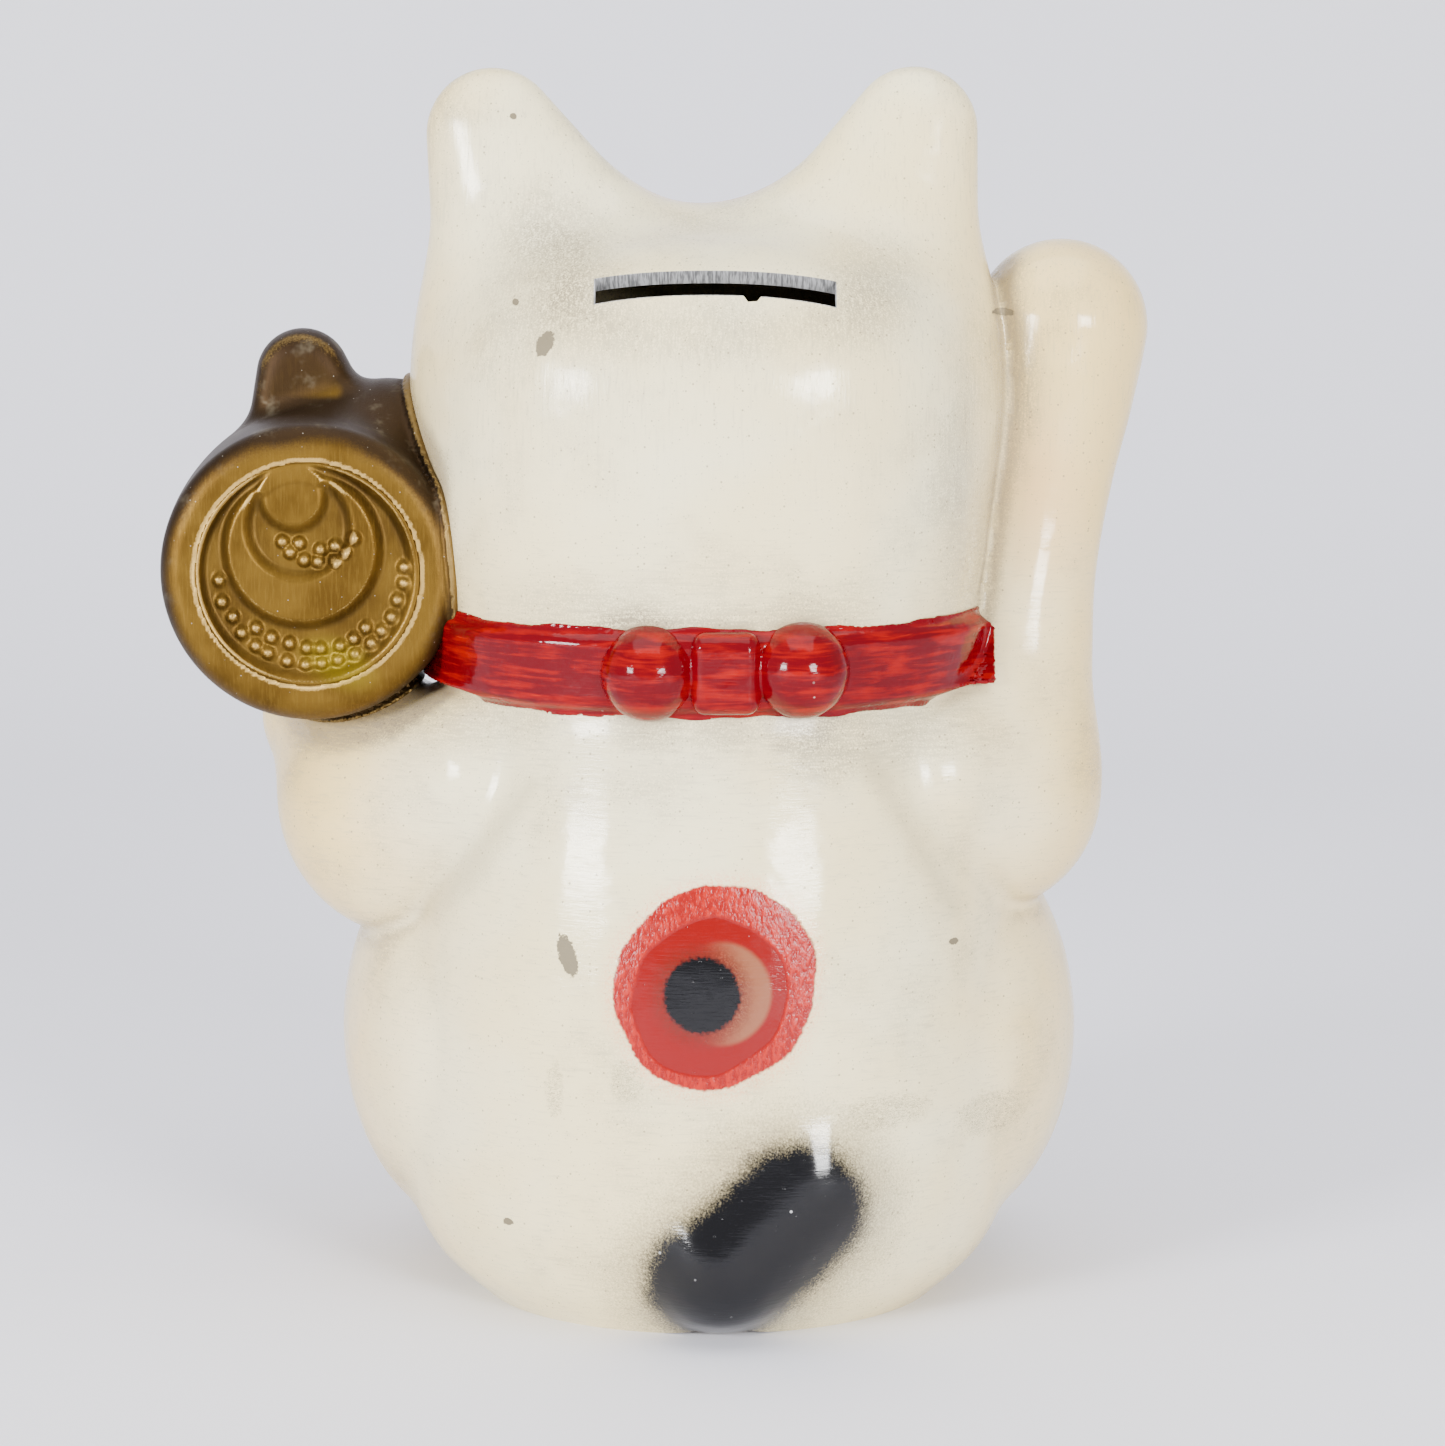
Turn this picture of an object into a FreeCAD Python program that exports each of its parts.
# Beckoning cat coin bank: a hollow pressed-clay figure, luted together from separate pieces and closed
# below by a slab with a rubber stopper.
#
# Millimetres. +Z is up and the cat looks along -Y. The origin is the middle of the flat base, on the
# surface that the figure stands on. The cat's own right side is -X: the raised arm is there, and the
# mallet is on the other side, +X. The coin slot is cut through the back of the head, towards +Y.

import FreeCAD
import Part

import math
import os

from FreeCAD import Vector

# ---------------------------------------------------------------- driving dimensions
WALL = 3.2                  # thickness of the pressed clay
EAR_TIP_Z = 194.5           # overall height
HEAD_TOP_Z = 171.0          # crown, between the ears
COLLAR_Z = 104.0            # middle of the collar band
SEAM_Y = 0.0                # plane where the front and back pressings meet

# Horizontal sections of the trunk and the head: height, half width, half depth.
TRUNK_SECTIONS = [
    (0.0, 37.0, 36.0),
    (6.0, 43.5, 41.0),
    (14.0, 48.0, 44.5),
    (26.0, 51.0, 46.5),
    (42.0, 51.5, 46.5),
    (60.0, 49.0, 45.4),
    (80.0, 45.5, 42.0),
    (98.0, 42.0, 37.3),
    (112.0, 40.0, 34.5),
]
HEAD_SECTIONS = [
    (100.0, 39.0, 35.0),
    (106.0, 41.5, 37.0),
    (115.0, 43.5, 38.8),
    (130.0, 44.6, 39.8),
    (147.0, 44.6, 38.8),
    (155.0, 43.2, 36.6),
    (160.0, 41.0, 33.8),
    (164.0, 37.5, 30.3),
    (167.5, 32.0, 25.5),
    (170.0, 23.0, 17.6),
    (170.8, 15.0, 11.6),
    (171.0, 8.0, 6.4),
]
CROWN_START_Z = 147.0       # the head rounds over to its crown above this
FLOOR_DROP = 1.0            # the hollow starts this far under the floor, so that it is open below
FLOOR_TUCK = 0.7
TRUNK_SQUARENESS = 0.97     # exponent of the section curve: 1 is an ellipse, less is squarer
HEAD_SQUARENESS = 0.88

# Solid forms that are pressed with the trunk and head: centre and radii.
HAUNCH_CENTRE = (37.0, -8.0, 40.0)
HAUNCH_RADII = (21.8, 36.0, 33.0)
MUZZLE_CENTRE = (0.0, -33.0, 123.0)
MUZZLE_RADII = (15.0, 11.5, 9.5)
EAR_ROOT = (18.6, 1.0, 147.0)
EAR_ROOT_R = 24.2
EAR_END_X = 34.2
EAR_TIP_R = 10.3
EAR_FLATNESS = 0.62         # depth of an ear over its width

HIND_PAW_CENTRE = (23.0, -47.0, 10.0)
HIND_PAW_RADII = (14.5, 17.0, 10.0)

# Arms. An upper arm is two balls, shoulder and elbow, joined by a cone: centre and radius of each.
RAISED_UPPER_ARM = [((-33.5, 12.5, 84.5), 15.8), ((-42.0, 3.0, 80.0), 18.8)]
HOLDING_UPPER_ARM = [((34.0, 12.5, 84.0), 15.8), ((48.0, 2.0, 76.5), 19.2)]
HOLDING_PAW = [((52.4, -2.0, 81.0), 14.8), ((59.5, -14.0, 90.0), 13.2)]

# The raised forearm is turned about a straight axis: distance along it, radius.
FOREARM_START = (-44.0, 2.0, 80.0)
FOREARM_END = (-56.0, -6.0, 153.5)
FOREARM_PROFILE = [
    (0.0, 15.4), (10.0, 15.0), (21.0, 13.8), (37.0, 12.0), (52.0, 12.1), (64.0, 13.2), (75.0, 13.7),
]
CURLED_PAW_CENTRE = (-56.0, -15.0, 150.5)
CURLED_PAW_RADII = (11.6, 13.0, 12.4)

# Mallet: a drum that lies along Y, with its grip standing up through it.
MALLET_CENTRE = (62.0, -3.0, 117.0)
MALLET_R = 24.0
MALLET_END_R = 22.6
MALLET_HALF_LENGTH = 24.0
MALLET_RIM_R = 3.5
MEDALLION_R = 17.4
MEDALLION_SINK = 1.2        # depth of the seat that the medallion lies in
GRIP_R = 6.5
GRIP_BOTTOM_Z = 80.0
NUB_TOP_Z = 153.4
NUB_BASE_HALF = (8.2, 8.0)
NUB_TOP_HALF = (5.2, 5.4)
NUB_X = 64.3
NUB_ROOT = 2.0              # how deep the nub is rooted in the drum
NUB_ROUNDING = 3.0

# Relief on the medallion, as circles nested inside each other: offset up from the middle, radius.
RELIEF_PLATE = 0.9
RELIEF_STEP = 0.9
MOON_OUTER = (4.2, 12.2)
MOON_INNER = (7.3, 7.9)
MOON_CORE = (10.4, 4.7)
# Rows of beads: offset up, radius of the row, first and last direction in degrees, beads, radius of one.
BEAD_ROWS = [(0.9, 14.2, -160.0, -20.0, 11, 1.0), (10.4, 6.6, -140.0, -40.0, 5, 0.8)]

# Collar, its tied knot at the nape and its bell at the throat.
COLLAR_HALF_HEIGHT = 5.8
COLLAR_PROUD = 3.0
COLLAR_NECK = (41.3, 37.0)  # half width and half depth of the neck under it
COLLAR_SUNK = 0.3           # how far the edges of the band lie under the skin
COLLAR_PARTING_Y = 3.0      # under the arms, where neither half of the band reaches
KNOT_Y = 39.3
KNOT_LOOP_R = 6.9
KNOT_LOOPS_X = (9.8, -15.4)
KNOT_MIDDLE_RADII = (6.6, 5.6, 6.4)
BELL_CENTRE = (0.0, -44.5, 93.0)
BELL_R = 8.6
BELL_BELT_R = 0.9
BELL_SLIT = 1.6
BELL_SLIT_DEPTH = 2.2

TAIL_ROOT = ((-1.8, 41.0, 12.0), 10.4)
TAIL_TIP = ((-15.0, 39.0, 24.0), 9.4)

# Coin slot, and the closing of the base.
SLOT_X = -1.1
SLOT_LENGTH = 36.8
SLOT_HEIGHT = 4.6
SLOT_Z = 161.8
SLAB_THICKNESS = 6.0
STOPPER_HOLE_R = 12.0
STOPPER_CLEARANCE = 0.05
FLANGE_R = 17.0
FLANGE_THICKNESS = 2.2
FLANGE_GAP = 0.6            # how far the flange stays above the surface under the figure
COUNTERBORE_R = 17.6
STEM_TOP_Z = 12.5
STEM_TAPER = 0.6
STEM_CORE_R = 8.6

FAR = 300.0                 # longer than the figure, for cutting boxes
POINTS_PER_RING = 24
RING_START = 4              # where on the ring the halves meet, clear of the seam plane
RINGS_PER_BALL = 9


# ---------------------------------------------------------------- shape helpers
def mirrored(centre):
    """The same point on the cat's other side."""
    return (-centre[0], centre[1], centre[2])


def box_between(low, high):
    size = [h - l for l, h in zip(low, high)]
    return Part.makeBox(size[0], size[1], size[2], Vector(*low))


def section_ring(centre, half_u, half_v, u_axis, v_axis, squareness=1.0):
    """A closed smooth curve in two halves: an ellipse, or a squarer oval, in the plane of two axes."""
    points = []
    for i in range(POINTS_PER_RING):
        turn = 2.0 * math.pi * (i + RING_START) / POINTS_PER_RING
        c, s = math.cos(turn), math.sin(turn)
        u = half_u * math.copysign(abs(c) ** squareness, c)
        v = half_v * math.copysign(abs(s) ** squareness, s)
        points.append(centre + u_axis * u + v_axis * v)
    curve = Part.BSplineCurve()
    curve.interpolate(points, True)
    half_way = curve.parameter(points[POINTS_PER_RING // 2])
    first_half = curve.toShape(curve.FirstParameter, half_way)
    second_half = curve.toShape(half_way, curve.LastParameter)
    return Part.Wire([first_half, second_half])


def stacked(sections, squareness, shrink=0.0):
    """A loft of level sections, each smaller all round by shrink."""
    rings = []
    for z, half_width, half_depth in sections:
        centre = Vector(0, 0, z)
        ring = section_ring(
            centre, half_width - shrink, half_depth - shrink, Vector(1, 0, 0), Vector(0, 1, 0), squareness
        )
        rings.append(ring)
    return Part.makeLoft(rings, True, False)


def ellipsoid(centre, radii):
    """A ball with its own radius along each axis, lofted from pole to pole."""
    middle = Vector(*centre)
    rings = [Part.Vertex(middle - Vector(0, 0, radii[2]))]
    for i in range(RINGS_PER_BALL):
        latitude = math.radians(-80.0 + 160.0 * i / (RINGS_PER_BALL - 1))
        level = middle + Vector(0, 0, radii[2] * math.sin(latitude))
        shrunk = math.cos(latitude)
        rings.append(
            section_ring(level, radii[0] * shrunk, radii[1] * shrunk, Vector(1, 0, 0), Vector(0, 1, 0))
        )
    rings.append(Part.Vertex(middle + Vector(0, 0, radii[2])))
    return Part.makeLoft(rings, True, False)


def round_cone(start, start_r, end, end_r):
    """Two balls and the cone that touches both, as one turned solid."""
    a, b = Vector(*start), Vector(*end)
    length = (b - a).Length
    lean = math.asin((start_r - end_r) / length)

    def on_ball(level, radius, angle):
        return Vector(radius * math.cos(angle), 0, level + radius * math.sin(angle))

    foot, top = on_ball(0, start_r, -math.pi / 2), on_ball(length, end_r, math.pi / 2)
    low_touch, high_touch = on_ball(0, start_r, lean), on_ball(length, end_r, lean)
    low_middle = on_ball(0, start_r, (lean - math.pi / 2) / 2)
    high_middle = on_ball(length, end_r, (lean + math.pi / 2) / 2)
    foot.x = top.x = 0.0
    outline = Part.Wire(
        [
            Part.Arc(foot, low_middle, low_touch).toShape(),
            Part.makeLine(low_touch, high_touch),
            Part.Arc(high_touch, high_middle, top).toShape(),
            Part.makeLine(top, foot),
        ]
    )
    solid = Part.Face(outline).revolve(Vector(0, 0, 0), Vector(0, 0, 1), 360)
    solid.Placement = FreeCAD.Placement(a, FreeCAD.Rotation(Vector(0, 0, 1), b - a))
    return solid


def flat_round_cone(start, start_r, end, end_r, flatness):
    """A round cone in the XZ plane whose depth along Y is only a share of its width."""
    a, b = Vector(*start), Vector(*end)
    along = (b - a).normalize()
    across = along.cross(Vector(0, 1, 0))
    length = (b - a).Length
    lean = math.asin((start_r - end_r) / length)
    stations = []
    for angle in (-60.0, -30.0, 0.0):
        turn = math.radians(angle)
        stations.append((start_r * math.sin(turn), start_r * math.cos(turn)))
    low = (start_r * math.sin(lean), start_r * math.cos(lean))
    high = (length + end_r * math.sin(lean), end_r * math.cos(lean))
    for share in (0.0, 0.33, 0.66, 1.0):
        stations.append(tuple(l + (h - l) * share for l, h in zip(low, high)))
    for share in (0.3, 0.6, 0.85):
        turn = lean + (math.pi / 2 - lean) * share
        stations.append((length + end_r * math.sin(turn), end_r * math.cos(turn)))
    rings = [Part.Vertex(a - along * start_r)]
    for level, radius in stations:
        rings.append(section_ring(a + along * level, radius, radius * flatness, across, Vector(0, 1, 0)))
    rings.append(Part.Vertex(b + along * end_r))
    return Part.makeLoft(rings, True, False)


def stretch(balls, shrink=0.0):
    """The round cone between two balls, smaller all round by shrink."""
    (start, start_r), (end, end_r) = balls
    return round_cone(start, start_r - shrink, end, end_r - shrink)


def turned_limb(start, end, profile, shrink=0.0):
    """A limb turned about a straight axis, with a rounded far end."""
    a, b = Vector(*start), Vector(*end)
    length, end_r = profile[-1][0], profile[-1][1] - shrink
    curve = Part.BSplineCurve()
    curve.interpolate([Vector(radius - shrink, 0, level) for level, radius in profile])
    corner = end_r * math.sqrt(0.5)
    foot, edge = Vector(0, 0, 0), Vector(end_r, 0, length)
    root, tip = Vector(profile[0][1] - shrink, 0, 0), Vector(0, 0, length + end_r)
    cap = Part.Arc(edge, Vector(corner, 0, length + corner), tip)
    outline = Part.Wire([Part.makeLine(foot, root), curve.toShape(), cap.toShape(), Part.makeLine(tip, foot)])
    limb = Part.Face(outline).revolve(Vector(0, 0, 0), Vector(0, 0, 1), 360)
    limb.Placement = FreeCAD.Placement(a, FreeCAD.Rotation(Vector(0, 0, 1), b - a))
    return limb


def disc_along_y(centre, radius, start_y, thickness):
    return Part.makeCylinder(radius, thickness, Vector(centre[0], start_y, centre[1]), Vector(0, 1, 0))


# ---------------------------------------------------------------- the pressed figure
def figure_form(shrink=0.0):
    """Trunk, haunches, head, muzzle and ears as one solid. Shrunk by the wall, it is the hollow inside."""
    trunk_sections = list(TRUNK_SECTIONS)
    head_sections = list(HEAD_SECTIONS)
    if shrink:
        floor_z, half_width, half_depth = trunk_sections[0]
        trunk_sections[0] = (floor_z - FLOOR_DROP, half_width - FLOOR_TUCK, half_depth - FLOOR_TUCK)
        crown_start = CROWN_START_Z
        squeeze = (HEAD_TOP_Z - shrink - crown_start) / (HEAD_TOP_Z - crown_start)
        head_sections = [
            (crown_start + (z - crown_start) * squeeze if z > crown_start else z, half_width, half_depth)
            for z, half_width, half_depth in HEAD_SECTIONS
        ]
    trunk = stacked(trunk_sections, TRUNK_SQUARENESS, shrink)
    head = stacked(head_sections, HEAD_SQUARENESS, shrink)
    haunch_radii = [r - shrink for r in HAUNCH_RADII]
    forms = [
        head,
        ellipsoid(HAUNCH_CENTRE, haunch_radii),
        ellipsoid(mirrored(HAUNCH_CENTRE), haunch_radii),
    ]
    ear_end = (EAR_END_X, EAR_ROOT[1], EAR_TIP_Z - EAR_TIP_R)
    for root, end in ((EAR_ROOT, ear_end), (mirrored(EAR_ROOT), mirrored(ear_end))):
        forms.append(flat_round_cone(root, EAR_ROOT_R - shrink, end, EAR_TIP_R - shrink, EAR_FLATNESS))
    if not shrink:
        forms.append(ellipsoid(MUZZLE_CENTRE, MUZZLE_RADII))
    form = trunk
    for piece in forms:
        form = form.fuse(piece)
    return form


def make_shells(form, hollow):
    """The front and back pressings. The slot is cut level through the back of the head."""
    skin = form.cut(hollow)
    slot = box_between(
        (SLOT_X - SLOT_LENGTH / 2, 0.0, SLOT_Z - SLOT_HEIGHT / 2),
        (SLOT_X + SLOT_LENGTH / 2, FAR, SLOT_Z + SLOT_HEIGHT / 2),
    )
    back = skin.common(box_between((-FAR, SEAM_Y, -FAR), (FAR, FAR, FAR))).cut(slot)
    front = skin.common(box_between((-FAR, -FAR, -FAR), (FAR, SEAM_Y, FAR)))
    return back, front


def make_base_slab(hollow):
    """Closes the bottom between the two pressings, with a stepped hole for the stopper."""
    slab = hollow.common(box_between((-FAR, -FAR, 0.0), (FAR, FAR, SLAB_THICKNESS)))
    flange_top = FLANGE_GAP + FLANGE_THICKNESS
    hole = Part.makeCylinder(STOPPER_HOLE_R, SLAB_THICKNESS + 2.0, Vector(0, 0, -1.0))
    counterbore = Part.makeCylinder(COUNTERBORE_R, flange_top + 1.0, Vector(0, 0, -1.0))
    return slab.cut(hole.fuse(counterbore))


def make_stopper():
    """A rubber plug: a flange that sits in the counterbore and a hollow, slightly tapered stem."""
    flange_top = FLANGE_GAP + FLANGE_THICKNESS
    stem_r = STOPPER_HOLE_R - STOPPER_CLEARANCE
    flange = Part.makeCylinder(FLANGE_R, FLANGE_THICKNESS, Vector(0, 0, FLANGE_GAP))
    neck = Part.makeCylinder(stem_r, SLAB_THICKNESS - flange_top, Vector(0, 0, flange_top))
    stem_foot = Vector(0, 0, SLAB_THICKNESS)
    stem = Part.makeCone(stem_r, stem_r - STEM_TAPER, STEM_TOP_Z - SLAB_THICKNESS, stem_foot)
    core = Part.makeCylinder(STEM_CORE_R, STEM_TOP_Z, Vector(0, 0, flange_top))
    return flange.fuse([neck, stem]).cut(core)


# ---------------------------------------------------------------- arms
def raised_arm_form(shrink=0.0):
    forearm = turned_limb(FOREARM_START, FOREARM_END, FOREARM_PROFILE, shrink)
    curled_paw = ellipsoid(CURLED_PAW_CENTRE, [r - shrink for r in CURLED_PAW_RADII])
    return stretch(RAISED_UPPER_ARM, shrink).fuse(forearm).fuse(curled_paw)


def holding_arm_form(shrink=0.0):
    return stretch(HOLDING_UPPER_ARM, shrink).fuse(stretch(HOLDING_PAW, shrink))


# ---------------------------------------------------------------- mallet
def make_drum(shrink=0.0):
    """The mallet's drum, barrelled in the middle and rounded at each rim."""
    half = MALLET_HALF_LENGTH - shrink
    end_r, middle_r = MALLET_END_R - shrink, MALLET_R - shrink
    rim = MALLET_RIM_R
    flat_r = end_r - rim
    corner = math.sqrt(0.5) * rim
    def at(radius, y):
        return Vector(radius, y, 0)
    def rim_arc(side):
        points = (at(end_r, side * (half - rim)), at(flat_r + corner, side * (half - rim + corner)),
                  at(flat_r, side * half))
        return Part.Arc(*(points if side > 0 else points[::-1])).toShape()
    outline = Part.Wire(
        [
            Part.makeLine(at(0, -half), at(flat_r, -half)),
            rim_arc(-1),
            Part.Arc(at(end_r, rim - half), at(middle_r, 0), at(end_r, half - rim)).toShape(),
            rim_arc(1),
            Part.makeLine(at(flat_r, half), at(0, half)),
            Part.makeLine(at(0, half), at(0, -half)),
        ]
    )
    drum = Part.Face(outline).revolve(Vector(0, 0, 0), Vector(0, 1, 0), 360)
    drum.translate(Vector(*MALLET_CENTRE))
    return drum


def make_medallion(side):
    """An applied relief of moons nested in each other with beads between them. side 1 is the back end."""
    x, _, z = MALLET_CENTRE
    face_y = MALLET_CENTRE[1] + side * (MALLET_HALF_LENGTH - MEDALLION_SINK)

    def disc(offset_radius, low, high):
        offset, radius = offset_radius
        start = face_y + low if side > 0 else face_y - high
        return disc_along_y((x, z + offset), radius, start, high - low)

    def bead(offset, row_r, degrees, radius):
        turn = math.radians(degrees)
        across, up = row_r * math.cos(turn), offset + row_r * math.sin(turn)
        return Part.makeSphere(radius, Vector(x + across, face_y + side * RELIEF_PLATE, z + up))

    top = RELIEF_PLATE + RELIEF_STEP
    moon = disc(MOON_OUTER, 0.0, top).cut(disc(MOON_INNER, RELIEF_PLATE, top))
    forms = [moon, disc(MOON_CORE, 0.0, top)]
    for offset, row_r, first, last, count, radius in BEAD_ROWS:
        for i in range(count):
            forms.append(bead(offset, row_r, first + (last - first) * i / (count - 1), radius))
    plate = disc((0.0, MEDALLION_R), 0.0, RELIEF_PLATE)
    return plate.fuse(forms)


def make_grip():
    """The mallet's grip: a round bar through the drum that ends above it in a blunt tapered nub."""
    x, y, z = MALLET_CENTRE
    base_z = z + MALLET_R - NUB_ROOT
    bar = Part.makeCylinder(GRIP_R, base_z - GRIP_BOTTOM_Z, Vector(x, y, GRIP_BOTTOM_Z))

    def outline(half, level):
        corners = [(-1, -1), (1, -1), (1, 1), (-1, 1), (-1, -1)]
        return Part.makePolygon([Vector(NUB_X + i * half[0], y + j * half[1], level) for i, j in corners])

    nub = Part.makeLoft([outline(NUB_BASE_HALF, base_z), outline(NUB_TOP_HALF, NUB_TOP_Z)], True, True)
    top_edges = [e for e in nub.Edges if min(v.Z for v in e.Vertexes) > NUB_TOP_Z - 0.01]
    return bar.fuse(nub.makeFillet(NUB_ROUNDING, top_edges))


# ---------------------------------------------------------------- collar
def make_collar_band():
    """A band with a rounded face that follows the neck. Its inside is cut by what it lies on."""
    rings = []
    for share in (-1.0, -0.92, -0.7, -0.35, 0.0, 0.35, 0.7, 0.92, 1.0):
        proud = COLLAR_PROUD * math.sqrt(max(0.0, 1.0 - share ** 2)) - COLLAR_SUNK
        centre = Vector(0, 0, COLLAR_Z + COLLAR_HALF_HEIGHT * share)
        half_width, half_depth = COLLAR_NECK[0] + proud, COLLAR_NECK[1] + proud
        rings.append(
            section_ring(centre, half_width, half_depth, Vector(1, 0, 0), Vector(0, 1, 0), TRUNK_SQUARENESS)
        )
    return Part.makeLoft(rings, True, False)


def make_collar_knot():
    loops = [Part.makeSphere(KNOT_LOOP_R, Vector(x, KNOT_Y, COLLAR_Z)) for x in KNOT_LOOPS_X]
    middle_x = sum(KNOT_LOOPS_X) / 2
    return ellipsoid((middle_x, KNOT_Y, COLLAR_Z), KNOT_MIDDLE_RADII).fuse(loops)


def make_bell():
    """A solid moulded bell with a raised belt and the groove of its slit below."""
    centre = Vector(*BELL_CENTRE)
    ball = Part.makeSphere(BELL_R, centre).fuse(Part.makeTorus(BELL_R, BELL_BELT_R, centre))
    core = Part.makeSphere(BELL_R - BELL_SLIT_DEPTH, centre)
    slit = box_between(
        (centre.x - BELL_SLIT / 2, centre.y - BELL_R * 2, centre.z - BELL_R * 2),
        (centre.x + BELL_SLIT / 2, centre.y + BELL_R * 2, centre.z - BELL_R * 0.25),
    )
    return ball.cut(slit.cut(core))


# ---------------------------------------------------------------- assembly
def build():
    form = figure_form()
    hollow = figure_form(WALL)
    back_shell, front_shell = make_shells(form, hollow)

    drum = make_drum()
    grip = make_grip()
    raised_form = raised_arm_form()
    holding_form = holding_arm_form()
    band = make_collar_band()
    knot = make_collar_knot()

    seats = []
    medallions = []
    for side in (1, -1):
        end_y = MALLET_CENTRE[1] + side * MALLET_HALF_LENGTH
        start = end_y - MEDALLION_SINK if side > 0 else end_y
        seats.append(disc_along_y((MALLET_CENTRE[0], MALLET_CENTRE[2]), MEDALLION_R, start, MEDALLION_SINK))
        medallions.append(make_medallion(side))

    worn_band = band.cut(form).cut(raised_form).cut(holding_form).cut(drum)
    mallet_head = drum.cut(make_drum(WALL)).cut(seats).cut(grip).cut(form)
    paws = {}
    for name, centre in (("left_hind_paw", HIND_PAW_CENTRE), ("right_hind_paw", mirrored(HIND_PAW_CENTRE))):
        paws[name] = ellipsoid(centre, HIND_PAW_RADII).cut(form)

    return {
        "back_shell": back_shell,
        "front_shell": front_shell,
        "base_slab": make_base_slab(hollow),
        "base_stopper": make_stopper(),
        "raised_arm": raised_form.cut(form).cut(raised_arm_form(WALL)),
        "holding_arm": holding_form.cut(form).cut(holding_arm_form(WALL)).cut(drum).cut(grip),
        "mallet_head": mallet_head,
        "mallet_grip": grip.cut(form),
        "mallet_back_medallion": medallions[0].cut(form),
        "mallet_front_medallion": medallions[1].cut(form),
        "collar_back_band": worn_band.common(box_between((-FAR, COLLAR_PARTING_Y, -FAR), (FAR, FAR, FAR))),
        "collar_front_band": worn_band.common(box_between((-FAR, -FAR, -FAR), (FAR, COLLAR_PARTING_Y, FAR))),
        "collar_knot": knot.cut(form).cut(band),
        "collar_bell": make_bell().cut(form).cut(band),
        "tail": round_cone(*TAIL_ROOT, *TAIL_TIP).cut(form),
        **paws,
    }


def main():
    os.makedirs("parts", exist_ok=True)
    for name, shape in build().items():
        if not shape.isValid():
            raise ValueError(f"{name} is not a valid shape")
        solids = shape.Solids
        kept = solids[0] if len(solids) == 1 else Part.makeCompound(solids)
        kept.exportStep(f"parts/{name}.step")
        print(f"{name}: {len(solids)} solid(s), {shape.Volume / 1000:.1f} cm3")


main()
